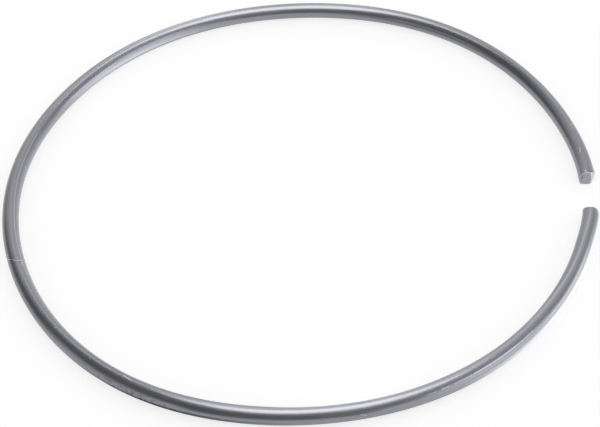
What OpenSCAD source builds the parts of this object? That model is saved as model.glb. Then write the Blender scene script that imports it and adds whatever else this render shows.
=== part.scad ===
// Open retaining ring, bent from one length of round spring-steel wire.
// It lies free and flat. The origin is the middle of the ring, +Z runs along its axis
// and +X points through the middle of the gap between its ends.

/* [Wire] */
// Diameter of the round wire
wire_d = 3.2; // [2:0.1:6]

/* [Ring] */
// Diameter inside the ring as it lies free
inner_d = 109; // [50:0.5:200]
// Straight distance between the end faces, at the middle of the wire
gap_w = 9.4; // [3:0.1:30]

/* [Cropped ends] */
// Width of the broken edge round each end face
edge_break = 0.15; // [0.05:0.01:0.3]
// Width, across the end face, of the flat that the cropping blade left on its outer side
nip_w = 0.9; // [0.3:0.05:1.2]
// Slope of that flat, measured from the line of the wire
nip_angle = 36; // [20:1:50]

/* [Hidden] */
$fn = 144;

// Radius of the circle that the middle of the wire follows
ring_r = (inner_d + wire_d) / 2;
// Angle from the middle of the gap to each end face
end_angle = asin(gap_w / 2 / ring_r);
// How far the flat's cut runs back along its slope, with some to spare
nip_run = wire_d + nip_w / sin(nip_angle);

// Places its children on the end face, with +Z out of the wire and +X away from the ring's middle
module on_end_face() {
    rotate([0, 0, end_angle])
        translate([ring_r, 0, 0])
            rotate([90, 0, 0])
                children();
}

// The wire, bent round and cropped square at both ends
module bent_wire() {
    rotate([0, 0, end_angle])
        rotate_extrude(angle = 360 - 2 * end_angle)
            translate([ring_r, 0])
                circle(d = wire_d);
}

// What is taken off all round an end face to break its edge at 45 degrees
module edge_cut() {
    difference() {
        translate([0, 0, -2 * edge_break])
            cylinder(h = 3 * edge_break, d = 2 * wire_d);
        translate([0, 0, -3 * edge_break])
            cylinder(h = 5 * edge_break, d1 = wire_d + 4 * edge_break, d2 = wire_d - 6 * edge_break);
    }
}

// What the cropping blade took off the outer side of an end
module nip_cut() {
    translate([wire_d / 2 - nip_w, -wire_d, 0])
        rotate([0, -nip_angle, 0])
            translate([0, 0, -nip_run])
                cube([wire_d, 2 * wire_d, nip_run]);
}

// The whole ring, with the nipped end on the +Y side of the gap
module retaining_ring() {
    color("silver")
        difference() {
            bent_wire();
            on_end_face() {
                edge_cut();
                nip_cut();
            }
            mirror([0, 1, 0])
                on_end_face()
                    edge_cut();
        }
}

retaining_ring();
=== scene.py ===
"""Dresses the open retaining ring: its drawn steel wire, its cropped ends, and the light it lies in."""
from functools import reduce
from math import asin, cos, hypot, pi, radians, sin

import bpy
from mathutils import Matrix, Vector


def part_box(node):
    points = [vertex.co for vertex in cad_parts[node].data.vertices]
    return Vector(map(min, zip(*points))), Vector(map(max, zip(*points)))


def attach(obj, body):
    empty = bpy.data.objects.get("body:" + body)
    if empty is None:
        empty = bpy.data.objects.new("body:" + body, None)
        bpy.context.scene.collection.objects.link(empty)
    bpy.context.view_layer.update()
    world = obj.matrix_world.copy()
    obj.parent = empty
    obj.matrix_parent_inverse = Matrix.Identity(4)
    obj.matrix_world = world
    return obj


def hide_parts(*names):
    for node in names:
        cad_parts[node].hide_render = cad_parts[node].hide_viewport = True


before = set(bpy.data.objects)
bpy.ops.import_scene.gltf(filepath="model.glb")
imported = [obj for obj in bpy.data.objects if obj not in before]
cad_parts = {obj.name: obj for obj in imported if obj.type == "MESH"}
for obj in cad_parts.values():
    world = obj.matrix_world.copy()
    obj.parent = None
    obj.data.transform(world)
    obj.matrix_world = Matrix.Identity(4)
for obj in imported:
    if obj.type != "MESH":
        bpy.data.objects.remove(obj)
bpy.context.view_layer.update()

# Lengths are in metres, written as millimetres times this
MM = 0.001

# How bright the room is to the table, beside the full white that the camera and the metal see
ROOM_LIGHT = 0.45

# The ring, in metres, from the solid that it dresses
ring_low, ring_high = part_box("retaining_ring")
WIRE_R = (ring_high[2] - ring_low[2]) / 2
RING_R = ring_high[1] - WIRE_R
TABLE_Z = ring_low[2]

# The cropped ends, as the solid has them
GAP_W = 9.4 * MM
EDGE_BREAK = 0.15 * MM
NIP_W = 0.9 * MM
NIP_SLOPE = radians(36)
END_ANGLE = asin(GAP_W / 2 / RING_R)
WIRE_HALF_LENGTH = RING_R * (pi - END_ANGLE)

# How far the sprung ring lies out of round: four slight flats and six smaller lobes, and where they start
FLAT = 0.21 * MM
FLAT_ANGLE = radians(8.6)
LOBE = 0.126 * MM
LOBE_ANGLE = radians(1.9)
# How far the plain end stands out from the circle
END_FLARE = 0.30 * MM

# Marks of the blade on the nipped end: the burr's place round the wire, from outwards over the top,
# the pit's middle and reach on the face, and how far back from the face the shear step lies
BURR_TURN = radians(228)
PIT_RIGHT, PIT_UP, PIT_REACH = -0.96 * MM, 0.14 * MM, 0.46 * MM
STEP_BACK, STEP_REACH = 0.36 * MM, 0.15 * MM

# How far along the wire from the end face each departure of the ends dies out
BURR_LENGTH = 0.6 * MM
ROLL_LENGTH = 1.1 * MM
SPREAD_LENGTH = 2.5 * MM
SLOPE_LENGTH = 3 * MM
LEAN_LENGTH = 4 * MM
FLARE_LENGTH = 9 * MM
ROUND_LENGTH = 16 * MM

# Degrees that each flat panel of a bent card spans, and the points round the rim of a lamp
CARD_STEP = 3
RIM_POINTS = 64
# Half the side of the square table, in metres
TABLE_HALF = 2


class Expr:
    """One output of a node, on which node maths is written as a Python expression."""

    def __init__(self, tree, socket):
        self.tree, self.socket = tree, socket

    def out(self, name):
        """Another output of the same node."""
        return Expr(self.tree, self.socket.node.outputs[name])

    def math(self, operation, *others, first=None):
        values = [self, *others] if first is None else [first, self, *others]
        return self.tree.node("ShaderNodeMath", {"operation": operation}, dict(enumerate(values)))

    def __add__(self, other):
        return self.math("ADD", other)

    def __sub__(self, other):
        return self.math("SUBTRACT", other)

    def __rsub__(self, other):
        return self.math("SUBTRACT", first=other)

    def __mul__(self, other):
        return self.math("MULTIPLY", other)

    def __truediv__(self, other):
        return self.math("DIVIDE", other)

    def __rtruediv__(self, other):
        return self.math("DIVIDE", first=other)

    def __pow__(self, other):
        return self.math("POWER", other)

    __radd__ = __add__

    def sine(self):
        return self.math("SINE")

    def cosine(self):
        return self.math("COSINE")

    def absolute(self):
        return self.math("ABSOLUTE")

    def least(self, other):
        return self.math("MINIMUM", other)

    def most(self, other):
        return self.math("MAXIMUM", other)

    def part(self, start, end):
        """How far this value is from start to end, held between 0 and 1."""
        return self.ramp(start, end, "LINEAR")

    def ease(self, start, end):
        """The same, easing in and out."""
        return self.ramp(start, end, "SMOOTHSTEP")

    def ramp(self, start, end, shape):
        return self.tree.node(
            "ShaderNodeMapRange",
            {"interpolation_type": shape, "clamp": True},
            {"Value": self, "From Min": start, "From Max": end, "To Min": 0.0, "To Max": 1.0},
        )


class Tree:
    """A node tree that is being written."""

    def __init__(self, node_tree):
        self.node_tree = node_tree
        node_tree.nodes.clear()

    def node(self, kind, settings=None, sockets=None):
        """Adds a node of that kind. Its settings come first, then the values or links of its sockets."""
        made = self.node_tree.nodes.new(kind)
        for name, value in (settings or {}).items():
            setattr(made, name, value)
        for name, value in (sockets or {}).items():
            shown = [s for s in made.inputs if s.enabled and s.name == name]
            socket = shown[0] if shown else made.inputs[name]
            if isinstance(value, Expr):
                self.node_tree.links.new(value.socket, socket)
            else:
                socket.default_value = value
        outputs = [s for s in made.outputs if s.enabled]
        return Expr(self, outputs[0]) if outputs else made


def near(value, middle, reach):
    """1 where a value is at the middle, easing off to 0 at its reach."""
    return 1.0 - (value - middle).absolute().ease(0.0, reach)


def from_end(along, length):
    """1 at an end face, easing off to 0 at that distance along the wire."""
    return 1.0 - along.ease(0.0, length)


def stored(tree, geometry, name, kind, domain, value):
    return tree.node(
        "GeometryNodeStoreNamedAttribute",
        {"data_type": kind, "domain": domain},
        {"Geometry": geometry, "Name": name, "Value": value},
    )


def bent_wire_tree(steel):
    """A round wire bent into an open ring. One grid makes its drawn side, broken edges and cropped ends."""
    group = bpy.data.node_groups.new("bent_wire", "GeometryNodeTree")
    sizes = {
        "Ring radius": RING_R,
        "Wire radius": WIRE_R,
        "End angle": END_ANGLE,
        "Half length": WIRE_HALF_LENGTH,
        "Broken edge": EDGE_BREAK,
        "Nip width": NIP_W,
        "Nip slope": NIP_SLOPE,
        "Flat": FLAT,
        "Flat angle": FLAT_ANGLE,
        "Lobe": LOBE,
        "Lobe angle": LOBE_ANGLE,
        "End flare": END_FLARE,
        "Face lean": 0.65 * MM,
        "Burr reach": radians(34),
        "Spread": 0.15 * MM,
        "Shear step": 0.10 * MM,
        "Rolled edge": 0.18 * MM,
        "Inner slope": 0.32 * MM,
        "Pit depth": 0.12 * MM,
        "Tearing": 0.03 * MM,
    }
    for name, value in sizes.items():
        socket = group.interface.new_socket(name, in_out="INPUT", socket_type="NodeSocketFloat")
        socket.default_value = value
    group.interface.new_socket("Wire", in_out="OUTPUT", socket_type="NodeSocketGeometry")
    tree = Tree(group)
    given = tree.node("NodeGroupInput")
    ring_r, wire_r, end_angle = given.out("Ring radius"), given.out("Wire radius"), given.out("End angle")
    half_length, edge = given.out("Half length"), given.out("Broken edge")

    # Rows of the grid, counted from the middle of each end face to the middle of the wire
    face_rows, edge_rows, side_rows, around = 22, 8, 290, 96
    half_rows = face_rows + edge_rows + side_rows
    near_row = 0.035 * MM
    grid = tree.node(
        "GeometryNodeMeshGrid",
        None,
        {"Size X": 2.0, "Size Y": 1.0, "Vertices X": 2 * half_rows + 1, "Vertices Y": around + 1},
    )
    place = tree.node("GeometryNodeInputPosition")
    across = tree.node("ShaderNodeSeparateXYZ", None, {"Vector": place})
    sweep, turn = across, (across.out("Y") + 0.5) * (2 * pi)
    nipped_end = sweep.math("GREATER_THAN", 0.0)
    row = (1.0 - sweep.absolute()) * half_rows
    face = row.part(0, face_rows)
    rounding = row.part(face_rows, face_rows + edge_rows) * (pi / 2)
    side = row.part(face_rows + edge_rows, half_rows)

    # The path from the middle of the face, over its edge and along the wire
    radius = (wire_r - edge) * face + edge * rounding.sine()
    along = edge * (1.0 - rounding.cosine()) + side * (near_row * side_rows)
    along = along + (half_length - edge - near_row * side_rows) * side ** 3.0

    # The nip, which shortens the section's radius on the outer side of the +Y end
    nip_edge = wire_r - given.out("Nip width") + along * given.out("Nip slope").math("TANGENT")
    facing = turn.cosine().most(0.05)
    kept = (nip_edge / (facing * wire_r)).math("SMOOTH_MIN", 1.0, 0.03)
    radius = radius * (1.0 - nipped_end * (1.0 - kept))

    # The burr that draws the inner lower edge of that end out into a corner, the spread of its outer side,
    # the step that the blade left under its top edge, and the rolled outer edge of the plain end
    from_corner = (given.out("Burr reach") - (turn - BURR_TURN).absolute()).most(0.0)
    corner = (1.0 / from_corner.cosine() - 1.0) * near(along, 0.0, BURR_LENGTH) * wire_r
    spread = near(turn.cosine(), 1.0, 1.0) * from_end(along, SPREAD_LENGTH) * given.out("Spread")
    under_edge = near(turn, radians(78), radians(48)) * near(along, STEP_BACK, STEP_REACH)
    step = under_edge * given.out("Shear step")
    rolled = near(turn.cosine(), 1.0, 0.8) * from_end(along, ROLL_LENGTH) * given.out("Rolled edge")
    radius = radius + nipped_end * face * (corner + spread - step) - (1.0 - nipped_end) * face * rolled

    # The torn grain, which isn't the same on both faces, and the pit in the face of that end
    right, up = radius * turn.cosine(), radius * turn.sine()
    from_pit = ((right - PIT_RIGHT) ** 2.0 + (up - PIT_UP) ** 2.0) ** 0.5
    pit = nipped_end * near(from_pit, 0.0, PIT_REACH)
    spot = tree.node("ShaderNodeCombineXYZ", None, {"X": right, "Y": up, "Z": nipped_end * (9 * MM)})
    grain = tree.node("ShaderNodeTexNoise", None, {"Vector": spot, "Scale": 1800.0, "Detail": 2.0})
    inner_face = 1.0 - (radius / wire_r).ease(0.8, 0.93)
    sunk = pit * given.out("Pit depth") + grain * inner_face * given.out("Tearing")
    along = along + (1.0 - row.part(face_rows, face_rows + 1)) * sunk

    # The other face, which leans back above the middle of the wire, and the slope of this one's inner top
    lean = (1.0 - (up / wire_r).most(0.0) * 0.85) * from_end(along, LEAN_LENGTH) * given.out("Face lean")
    inner_top = ((up * 0.6 - right * 0.8) / wire_r).most(0.0) * from_end(along, SLOPE_LENGTH)
    along = along - (1.0 - nipped_end) * lean + nipped_end * inner_top * given.out("Inner slope")

    # The same points on the straight wire, before it was bent, which the drawing marks follow
    heading = (end_angle + along / ring_r) * (nipped_end * 2.0 - 1.0)
    run = ring_r * (heading + (1.0 - nipped_end) * (2 * pi))
    straight = tree.node("ShaderNodeCombineXYZ", None, {"X": run, "Y": right, "Z": up})
    unrolled = tree.node("ShaderNodeCombineXYZ", None, {"X": run, "Y": turn * wire_r})

    # What the steel needs to know: where the face is torn, its lip, where a highlight is painted, the
    # blade's flat and the pit
    cropped = 1.0 - row.part(face_rows + 1, face_rows + 6)
    top_edge = near(turn, radians(90), radians(62)) * near(row, face_rows + 3, 5)
    lip_highlight = nipped_end * (top_edge * 2.0).least(1.0)
    nipped = nipped_end * ((1.0 - kept) * 12.0).part(0.0, 1.0) * row.part(face_rows - 1, face_rows + 1)
    marked = stored(tree, grid, "UVMap", "FLOAT2", "CORNER", unrolled)
    marked = stored(tree, marked, "straight", "FLOAT_VECTOR", "POINT", straight)
    marked = stored(tree, marked, "cropped", "FLOAT", "POINT", cropped)
    marked = stored(tree, marked, "lip_highlight", "FLOAT", "POINT", lip_highlight)
    marked = stored(tree, marked, "nipped", "FLOAT", "POINT", nipped)
    marked = stored(tree, marked, "pit", "FLOAT", "POINT", pit)

    # The wire as it lies, slightly out of round
    flats = given.out("Flat") * ((heading - given.out("Flat angle")) * 4.0).cosine()
    lobes = given.out("Lobe") * ((heading - given.out("Lobe angle")) * 6.0).cosine()
    flare = given.out("End flare") * (1.0 - nipped_end) * from_end(along, FLARE_LENGTH)
    out = ring_r + (lobes - flats) * along.ease(0.0, ROUND_LENGTH) + flare + right
    bent = tree.node(
        "ShaderNodeCombineXYZ", None, {"X": out * heading.cosine(), "Y": out * heading.sine(), "Z": up}
    )
    shaped = tree.node("GeometryNodeSetPosition", None, {"Geometry": marked, "Position": bent})
    # The grid's edges meet and become one, and its faces are turned outwards
    closed = tree.node("GeometryNodeMergeByDistance", None, {"Geometry": shaped, "Distance": 1e-7})
    outward = tree.node("GeometryNodeFlipFaces", None, {"Mesh": closed})
    smooth = tree.node(
        "GeometryNodeSetShadeSmooth", {"domain": "FACE"}, {"Geometry": outward, "Shade Smooth": True}
    )
    plain = tree.node("GeometryNodeRealizeInstances", None, {"Geometry": smooth})
    dressed = tree.node("GeometryNodeSetMaterial", None, {"Geometry": plain, "Material": steel})
    tree.node("NodeGroupOutput", None, {"Wire": dressed})
    return group, sizes


def baked(name, group, sizes):
    """The mesh that a geometry tree makes, as an object with no modifier."""
    holder = bpy.data.objects.new(name + "_holder", bpy.data.meshes.new(name + "_holder"))
    bpy.context.collection.objects.link(holder)
    modifier = holder.modifiers.new("shape", "NODES")
    modifier.node_group = group
    for item in group.interface.items_tree:
        if item.in_out == "INPUT" and item.name in sizes:
            modifier[item.identifier] = sizes[item.name]
    graph = bpy.context.evaluated_depsgraph_get()
    mesh = bpy.data.meshes.new_from_object(
        holder.evaluated_get(graph), preserve_all_data_layers=True, depsgraph=graph
    )
    bpy.data.objects.remove(holder)
    mesh.name = name
    made = bpy.data.objects.new(name, mesh)
    bpy.context.collection.objects.link(made)
    return made


def new_material(name):
    made = bpy.data.materials.new(name)
    made.use_nodes = True
    return made, Tree(made.node_tree)


def drawn_steel():
    """Bright drawn spring wire: fine lengthwise drawing marks, dull torn ends, a few handling marks, a
    patch of dark mottles, painted glints and reflections, a painted highlight on the nipped end's lip and
    painted shade in its pit.
    """
    made, tree = new_material("bright_drawn_steel")
    straight = tree.node("ShaderNodeAttribute", {"attribute_name": "straight"}).out("Vector")

    def share(name):
        return tree.node("ShaderNodeAttribute", {"attribute_name": name}).out("Fac")

    def noise(length, width, detail):
        """Streaks of about that length along the wire and width round it, about 0."""
        stretched = tree.node(
            "ShaderNodeVectorMath",
            {"operation": "MULTIPLY"},
            {0: straight, 1: (1 / length, 1 / width, 1 / width)},
        )
        streaks = tree.node(
            "ShaderNodeTexNoise", None, {"Vector": stretched, "Scale": 1.0, "Detail": detail}
        )
        return streaks - 0.5

    def mixed(factor, first, second):
        return tree.node(
            "ShaderNodeMix",
            {"data_type": "RGBA", "blend_type": "MIX"},
            {"Factor": factor, "A": first, "B": second},
        )

    # Drawing lines and the broader bands among them, and the grain and tinted patches of the torn ends
    fine = noise(22 * MM, 0.22 * MM, 1.0)
    broad = noise(45 * MM, 0.9 * MM, 1.0)
    grain = noise(0.3 * MM, 0.3 * MM, 2.0)
    patch = noise(0.5 * MM, 0.5 * MM, 1.0)
    place = tree.node("ShaderNodeSeparateXYZ", None, {"Vector": straight})
    uv = tree.node("ShaderNodeUVMap", {"uv_map": "UVMap"})
    unrolled = tree.node("ShaderNodeSeparateXYZ", None, {"Vector": uv})

    def stroke(first, last, reach):
        """A fine line between two places, each a bearing and a turn round the wire in degrees."""
        run, end_run = radians(first[0]) * RING_R, radians(last[0]) * RING_R
        side, end_side = radians(first[1]) * WIRE_R, radians(last[1]) * WIRE_R
        # A speck has no length of its own, so it gets one too small to see
        length = max(hypot(end_run - run, end_side - side), 0.001 * MM)
        ahead, across = (end_run - run) / length, (end_side - side) / length
        from_run, from_side = unrolled - run, unrolled.out("Y") - side
        gone = (from_run * ahead + from_side * across).most(0.0).least(length)
        away = (from_run - gone * ahead) ** 2.0 + (from_side - gone * across) ** 2.0
        return 1.0 - (away ** 0.5).ease(0.0, reach)

    def scratch_or_glint(depth, reach, *places):
        """A pale line through those places, or a speck at a single one. It draws scratches, and also
        painted glints and reflections.
        """
        strokes = [stroke(a, b, reach) for a, b in zip(places, places[1:] or places)]
        return reduce(Expr.most, strokes) * depth

    # Pale marks: a hairline across the wire with a branch and short nicks, which are handling marks, then
    # specks that are painted glints, and lines and dashes that are painted reflections, some of them part
    # drawing line. Bearings count anticlockwise from the gap, and turns from the outer side over the top
    marks_and_painted_glints = [
        scratch_or_glint(1.0, 0.135 * MM, (201.2, 19), (203.2, 89), (203.2, 131)),
        scratch_or_glint(0.7, 0.13 * MM, (204.5, 113), (203.2, 131)),
        scratch_or_glint(0.5, 0.2 * MM, (285.8, 10), (284.8, 25)),
        scratch_or_glint(1.0, 0.13 * MM, (242.8, 91), (241.1, 104)),
        scratch_or_glint(0.6, 0.16 * MM, (176.2, 166), (175.6, 145)),
        scratch_or_glint(0.8, 0.13 * MM, (12.1, 93), (10.7, 105)),
        # Painted glints: pale specks
        scratch_or_glint(0.8, 0.3 * MM, (241.1, 104)),
        scratch_or_glint(0.5, 0.25 * MM, (233.1, 86)),
        scratch_or_glint(0.8, 0.3 * MM, (222.9, 86)),
        scratch_or_glint(0.7, 0.25 * MM, (207.3, 129)),
        scratch_or_glint(0.6, 0.35 * MM, (19.1, 70)),
        # A pale line, part drawing line and part painted reflection of a long light's edge
        scratch_or_glint(0.5, 0.12 * MM, (207.3, 129), (191.8, 125), (178.9, 118), (165.7, 117)),
        # A row of pale dashes: a painted reflection of a small bright edge on the table
        scratch_or_glint(0.5, 0.12 * MM, (297.0, 43), (298.6, 43.5)),
        scratch_or_glint(0.7, 0.12 * MM, (299.8, 44.5), (301.2, 45)),
        scratch_or_glint(0.35, 0.12 * MM, (302.3, 46), (306.0, 49)),
        scratch_or_glint(0.9, 0.12 * MM, (306.4, 49.5), (312.4, 52)),
        scratch_or_glint(0.9, 0.13 * MM, (312.4, 52), (316.5, 54)),
        scratch_or_glint(0.5, 0.13 * MM, (316.5, 54), (321.0, 56)),
        # A faint pale line, part drawing line and part painted reflection of the lamp's edge
        scratch_or_glint(0.2, 0.28 * MM, (355.0, 88), (347.5, 95), (337.0, 101), (330.0, 111), (322.0, 117)),
    ]
    marks_and_painted_glints = reduce(Expr.most, marks_and_painted_glints)

    # A patch on the outer side, darker in mottles
    outer_side = place.out("Y").ease(WIRE_R * 0.72, WIRE_R * 0.95)
    outer_patch = near(place, radians(243) * RING_R, 15 * MM) * outer_side
    dark_mottles = outer_patch * noise(0.8 * MM, 0.4 * MM, 2.0).ease(-0.02, 0.12)

    # The drawn side. Its drawing lines blur what it mirrors round the wire and hardly along it
    side_colour = mixed(
        (fine * 0.9 + broad * 0.7 + 0.5).part(0, 1), (0.235, 0.238, 0.262, 1), (0.35, 0.353, 0.385, 1)
    )
    # The mottles darken the side colour towards a dark violet grey
    side_colour = mixed(dark_mottles * 0.7, side_colour, (0.12, 0.10, 0.13, 1))
    # The marks lighten the side: scratches, painted glints and painted reflections
    side_colour = mixed(marks_and_painted_glints, side_colour, (0.66, 0.68, 0.72, 1))
    relief = fine + (marks_and_painted_glints + dark_mottles) * 0.5
    side_bump = tree.node(
        "ShaderNodeBump", None, {"Strength": 0.3, "Distance": 0.01 * MM, "Height": relief}
    )

    def drawn(roughness):
        return tree.node(
            "ShaderNodeBsdfPrincipled",
            None,
            {
                "Base Color": side_colour,
                "Metallic": 1.0,
                "Roughness": roughness,
                "Anisotropic": 0.95,
                "Anisotropic Rotation": 0.25,
                "Normal": side_bump,
            },
        )

    # Its lines and marks mix a closer gloss with a softer one
    softness = 0.6 + fine * 0.3 + marks_and_painted_glints
    side = tree.node("ShaderNodeMixShader", None, {0: softness, 1: drawn(0.17), 2: drawn(0.29)})

    # The cropped ends: torn and dull, with a pale flat where the blade slid and a painted highlight on the
    # lip above it
    face_tint = mixed((patch * 4.0 + 0.5).part(0, 1), (0.43, 0.35, 0.40, 1), (0.35, 0.37, 0.43, 1))
    face_colour = mixed((grain * 1.7 + 0.5).part(0, 1), (0.10, 0.09, 0.11, 1), (0.68, 0.64, 0.70, 1))
    face_colour = mixed(0.5, face_colour, face_tint)
    # Painted shade: the pit in the face is darkened
    face_colour = mixed(share("pit") * 0.5, face_colour, (0.09, 0.10, 0.10, 1))
    face_colour = mixed(share("nipped") * 0.85, face_colour, (0.58, 0.58, 0.57, 1))
    # Painted highlight: the lip along the face's top edge is coloured near white
    face_colour = mixed(share("lip_highlight"), face_colour, (0.90, 0.87, 0.89, 1))
    face_bump = tree.node(
        "ShaderNodeBump", None, {"Strength": 0.7, "Distance": 0.03 * MM, "Height": grain}
    )
    end = tree.node(
        "ShaderNodeBsdfPrincipled",
        None,
        {
            "Base Color": face_colour,
            "Metallic": 1.0,
            "Roughness": 0.46 + grain * 0.3,
            "Normal": face_bump,
        },
    )
    at_end = share("cropped").most(share("nipped"))
    surface = tree.node("ShaderNodeMixShader", None, {0: at_end, 1: side, 2: end})
    tree.node("ShaderNodeOutputMaterial", None, {"Surface": surface})
    return made


def studio_white(name, diffuse):
    """A white that the camera and the metal see as full white, and that still takes a shadow."""
    made, tree = new_material(name)
    path = tree.node("ShaderNodeLightPath")
    seen = path.most(path.out("Is Glossy Ray")).most(path.out("Is Transmission Ray"))
    lift = seen * (1.0 - diffuse * ROOM_LIGHT)
    paper = tree.node("ShaderNodeBsdfDiffuse", None, {"Color": (diffuse, diffuse, diffuse, 1.0)})
    glow = tree.node("ShaderNodeEmission", None, {"Color": lift})
    both = tree.node("ShaderNodeAddShader", None, {0: paper, 1: glow})
    tree.node("ShaderNodeOutputMaterial", None, {"Surface": both})
    return made


def glowing(name, brightness):
    """A lit lamp front, or a card that sends light on. It thins out where its cover is less than 1."""
    made, tree = new_material(name)
    cover = tree.node("ShaderNodeAttribute", {"attribute_name": "cover"}).out("Fac")
    clear = tree.node("ShaderNodeBsdfTransparent")
    light = tree.node("ShaderNodeEmission", None, {"Color": (1, 1, 1, 1), "Strength": brightness})
    surface = tree.node("ShaderNodeMixShader", None, {0: cover, 1: clear, 2: light})
    tree.node("ShaderNodeOutputMaterial", None, {"Surface": surface})
    return made


# The camera, which looks down on the ring at 45 degrees
FOCAL_PX = 1743.0
IMAGE_W_PX = 600
SENSOR_W_MM = 36.0
VIEW_AZIMUTH = radians(6.34)
VIEW_ELEVATION = radians(45.01)
VIEW_ROLL = radians(3.34)
VIEW_DISTANCE = 6.05 * RING_R
RING_RIGHT_OF_VIEW, RING_ABOVE_VIEW = -0.006 * RING_R, 0.082 * RING_R


def add_camera():
    camera = bpy.data.cameras.new("camera")
    camera.sensor_width = SENSOR_W_MM
    camera.lens = FOCAL_PX / IMAGE_W_PX * SENSOR_W_MM
    camera.clip_start = 0.01
    made = bpy.data.objects.new("camera", camera)
    bpy.context.collection.objects.link(made)
    turned = (
        Matrix.Rotation(VIEW_AZIMUTH, 4, "Z")
        @ Matrix.Rotation(pi / 2 - VIEW_ELEVATION, 4, "X")
        @ Matrix.Rotation(-VIEW_ROLL, 4, "Z")
    )
    back = turned @ Vector((-RING_RIGHT_OF_VIEW, -RING_ABOVE_VIEW, VIEW_DISTANCE))
    made.matrix_world = Matrix.Translation(back) @ turned
    bpy.context.scene.camera = made


def add_stage(name, points, faces, material):
    mesh = bpy.data.meshes.new(name)
    mesh.from_pydata([tuple(point) for point in points], [], faces)
    mesh.materials.append(material)
    made = bpy.data.objects.new(name, mesh)
    bpy.context.collection.objects.link(made)
    return made


def add_light(name, brightness, points, faces, covers):
    """A lamp or card that only the metal sees. Its covers say how much of it there is at each point."""
    piece = add_stage(name, points, faces, glowing(name, brightness))
    piece.data.attributes.new("cover", "FLOAT", "POINT").data.foreach_set("value", covers)
    piece.visible_camera = False
    piece.visible_diffuse = False
    piece.visible_transmission = False
    piece.visible_shadow = False


def bearing(degrees, distance, height):
    """A place as seen from the ring's middle: 0 is straight away from the camera and 90 to its right."""
    turn = radians(degrees) - VIEW_AZIMUTH
    return Vector((sin(turn) * distance, cos(turn) * distance, height))


def from_view(right, away, height):
    """The same by distances to the right of the camera's line and away from the camera."""
    return Matrix.Rotation(VIEW_AZIMUTH, 3, "Z") @ Vector((right, away, height))


def bent_card(name, brightness, bearings, fade, near_edge, far_edge, near_fade=0.0, far_fade=0.0):
    """A card bent round the ring's middle between two bearings, at which it fades out over some degrees.
    Each edge has a distance and a height, and may fade out over a share of the card's width."""
    first, last = bearings
    steps = round((last - first) / CARD_STEP)
    # Places across the card, from its near edge to its far one, and how much of it there is at each
    rows = [(0.0, 0.0), (near_fade, 1.0)] if near_fade else [(0.0, 1.0)]
    rows += [(1.0 - far_fade, 1.0), (1.0, 0.0)] if far_fade else [(1.0, 1.0)]
    points, covers = [], []
    for k in range(steps + 1):
        degrees = first + (last - first) * k / steps
        side_cover = min(1.0, (degrees - first) / fade) * min(1.0, (last - degrees) / fade)
        for share, cover in rows:
            edge = [a + (b - a) * share for a, b in zip(near_edge, far_edge)]
            points.append(bearing(degrees, *edge))
            covers.append(cover * side_cover)
    wide = len(rows)
    faces = [
        (wide * k + j, wide * (k + 1) + j, wide * (k + 1) + j + 1, wide * k + j + 1)
        for k in range(steps)
        for j in range(wide - 1)
    ]
    add_light(name, brightness, points, faces, covers)


def round_lamp(name, brightness, right, away, half_width, half_depth, height, squareness, soft_edge):
    """A lamp front with round corners: an ellipse at a squareness of 2, and squarer above that."""
    turns = [2 * pi * k / RIM_POINTS for k in range(RIM_POINTS)]
    points = []
    for rim in (1.0 - soft_edge / 2, 1.0 + soft_edge / 2):
        for t in turns:
            reach = (abs(cos(t)) ** squareness + abs(sin(t)) ** squareness) ** (-1 / squareness)
            rightwards, backwards = half_width * rim * reach * cos(t), half_depth * rim * reach * sin(t)
            points.append(from_view(right + rightwards, away + backwards, height))
    front = tuple(range(RIM_POINTS))
    nexts = front[1:] + front[:1]
    faces = [front] + [(a, b, RIM_POINTS + b, RIM_POINTS + a) for a, b in zip(front, nexts)]
    add_light(name, brightness, points, faces, [1.0] * RIM_POINTS + [0.0] * RIM_POINTS)


add_camera()
steel = drawn_steel()
wire = baked("bent_wire", *bent_wire_tree(steel))
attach(wire, "root")
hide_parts("retaining_ring")

# The table and the room, which are white to the camera
corners = [(-1, -1), (1, -1), (1, 1), (-1, 1)]
table = [(x * TABLE_HALF, y * TABLE_HALF, TABLE_Z) for x, y in corners]
add_stage("table", table, [(0, 1, 2, 3)], studio_white("table_white", 0.8))
world = bpy.data.worlds.new("room")
bpy.context.scene.world = world
world.use_nodes = True
room = Tree(world.node_tree)
path = room.node("ShaderNodeLightPath")
plain = path.out("Is Diffuse Ray") * (1.0 - ROOM_LIGHT)
light = room.node("ShaderNodeBackground", None, {"Color": 1.0 - plain, "Strength": 1.0})
room.node("ShaderNodeOutputWorld", None, {"Surface": light})

# The lamp overhead, which shows only in the metal
round_lamp("overhead_lamp", 3.2, 0.010, 0.110, 0.112, 0.210, 0.423, 2.9, 0.2)

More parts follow.
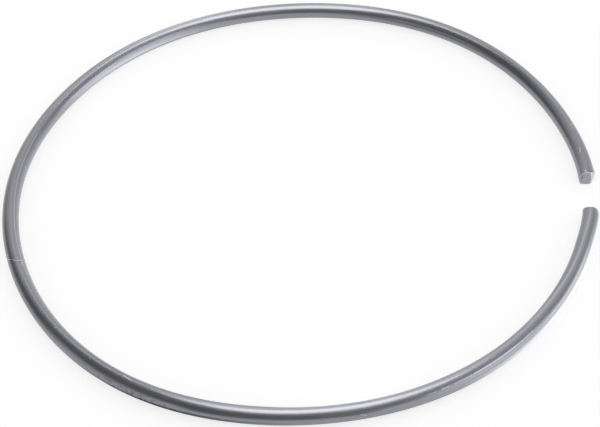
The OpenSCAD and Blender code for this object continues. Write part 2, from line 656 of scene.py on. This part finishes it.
# The room's walls, each a little nearer than the last so that none lies in another
FAR = 0.8
bent_card("dark_wall_left", 0.17, (-202, 9), 7, (FAR, TABLE_Z), (FAR, 4.2), 0, 0.04)
bent_card("low_wall_left", 1.04, (-146, -108), 6, (FAR - 0.01, TABLE_Z), (FAR - 0.01, 0.22), 0, 0.09)
bent_card("wall_behind_left", 0.96, (-57, 8), 33, (FAR - 0.02, TABLE_Z), (FAR - 0.02, 1.08), 0, 0.26)
bent_card("wall_behind", 1.96, (-18, 10), 9, (FAR - 0.03, TABLE_Z), (FAR - 0.03, 0.84), 0, 0.19)
bent_card("high_wall_right", 0.46, (29, 139), 39, (FAR - 0.04, 0.02), (FAR - 0.04, 3.3), 0.1, 0.1)
bent_card("high_wall_front", 0.31, (101, 182), 9, (FAR - 0.05, 0.12), (FAR - 0.05, 2.8), 0.08, 0.08)

# Cards that stand on the table, nearer in the same way
NEAR = 0.25
bent_card("pale_card_right", 1.57, (87, 152), 21, (NEAR, TABLE_Z), (NEAR, 0.23), 0, 0.08)
bent_card("white_card_right", 2.76, (72, 110), 10, (NEAR - 0.01, TABLE_Z), (NEAR - 0.01, 0.087), 0, 0.25)
bent_card("dark_card_behind", 0.0, (-10, 7), 13, (NEAR - 0.02, TABLE_Z), (NEAR - 0.02, 0.37), 0, 0.12)
bent_card("low_card_left", 0.67, (-139, -90), 12, (NEAR - 0.03, TABLE_Z), (NEAR - 0.03, 0.1), 0, 0.4)

# Light and shade that lie on the table beside the wire, with two more laid over them
ON_TABLE = TABLE_Z + 0.1 * MM
OVER_CARDS = ON_TABLE + 0.1 * MM
BY_INSIDE = RING_R - WIRE_R
BY_OUTSIDE = RING_R + WIRE_R + 0.1 * MM
bent_card("white_on_table_right", 1.5, (81, 166), 41, (BY_OUTSIDE, ON_TABLE), (85 * MM, ON_TABLE))
bent_card("pale_on_table_inside", 1.25, (-143, -1), 24, (27 * MM, ON_TABLE), (BY_INSIDE, ON_TABLE))
bent_card("shade_on_table_inside", 0.0, (8, 52), 18, (23.5 * MM, ON_TABLE), (51 * MM, ON_TABLE))
bent_card("shade_on_table_left", 0.02, (-179, -130), 20, (BY_OUTSIDE, ON_TABLE), (59.3 * MM, ON_TABLE))
bent_card("light_on_table_front", 3.1, (152, 191), 13, (29.5 * MM, ON_TABLE), (BY_INSIDE, ON_TABLE))
bent_card("light_on_table_inside", 2.85, (-58, -18), 25, (44.3 * MM, OVER_CARDS), (BY_INSIDE, OVER_CARDS))
bent_card("white_on_table_near", 3.3, (93, 152), 24, (BY_OUTSIDE, OVER_CARDS), (62 * MM, OVER_CARDS))

bpy.context.scene.view_settings.view_transform = "Standard"
